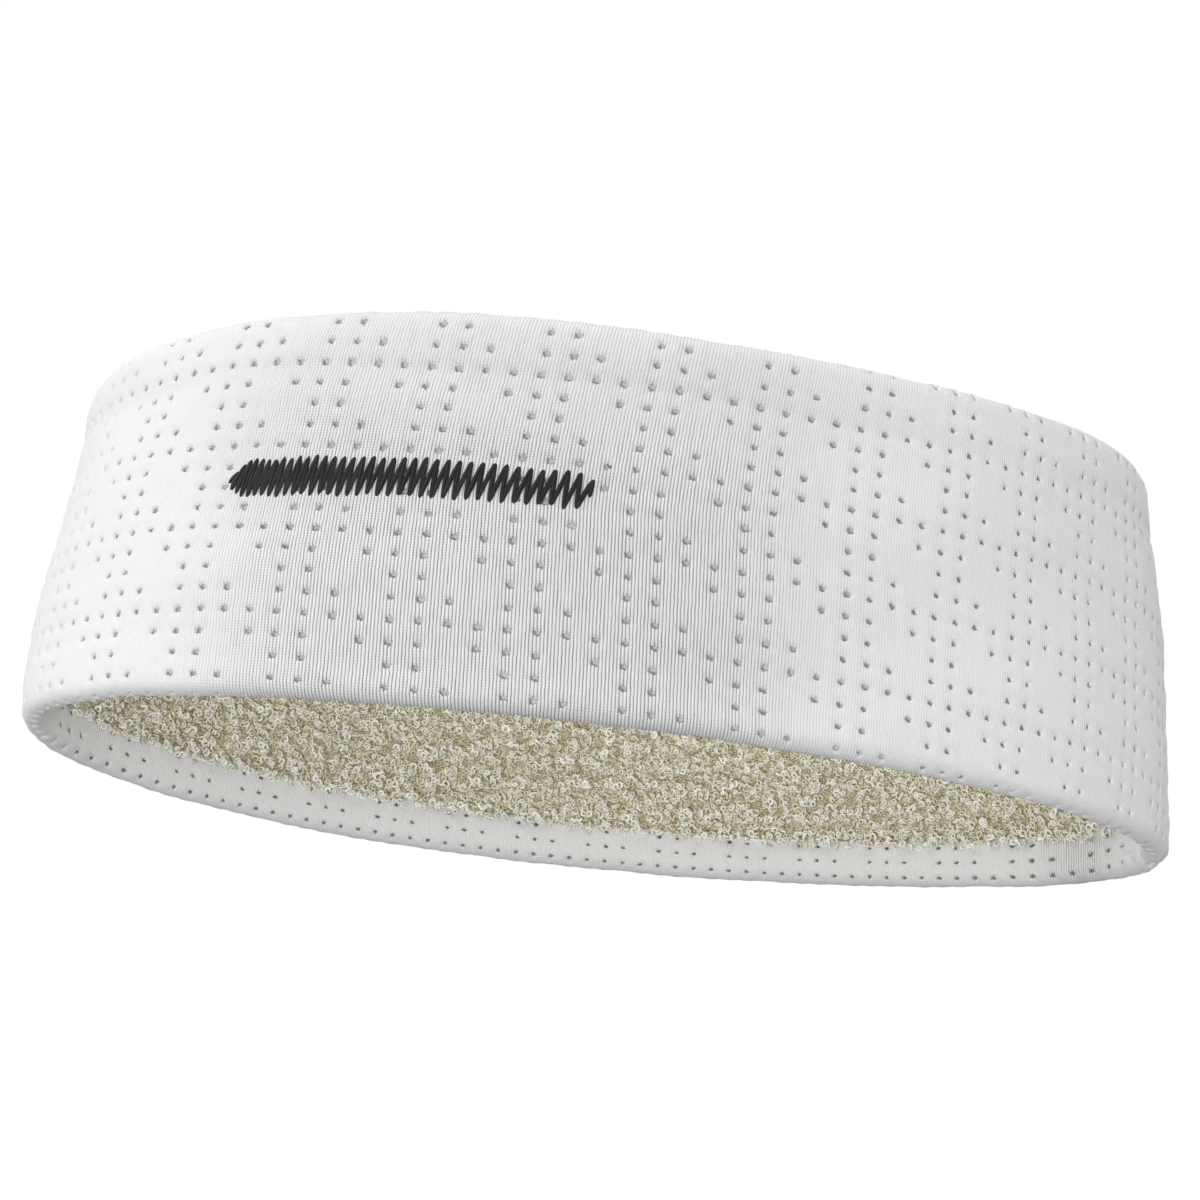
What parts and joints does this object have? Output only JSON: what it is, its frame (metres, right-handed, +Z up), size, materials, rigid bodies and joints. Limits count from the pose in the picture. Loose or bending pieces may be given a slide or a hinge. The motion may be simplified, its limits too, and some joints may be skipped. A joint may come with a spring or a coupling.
{
  "type": "sports headband",
  "caption": "Wide pull-on sports headband: a loop of perforated knit with hemmed rims, lined with loop-pile terry, with a small stitched bar on the front.",
  "frame": {"origin": "centre of the lower rim, on the surface that the band stands on", "axes": "+Z up along the axis of the head opening, X along the loop's long way, the front wall with the stitched bar faces -Y"},
  "size_m": [0.2196, 0.1258, 0.0686],
  "materials": {
    "knit": "fine ribbed perforated knit, matt with a faint sheen",
    "terry": "cream loop-pile terry",
    "sewing_thread": "white polyester sewing thread",
    "embroidery_thread": "black satin embroidery thread",
    "backing_cloth": "thin non-woven backing",
    "bobbin_thread": "white bobbin thread"
  },
  "bodies": {
    "root": {"outer_shell": "knit", "terry_lining": "terry", "lower_joining_seam": "sewing_thread", "upper_joining_seam": "sewing_thread", "shell_closing_seam": "sewing_thread", "lining_closing_seam": "sewing_thread", "embroidered_bar": "embroidery_thread", "embroidery_backing": "backing_cloth", "embroidery_bobbin_thread": "bobbin_thread"}
  },
  "joints": []
}
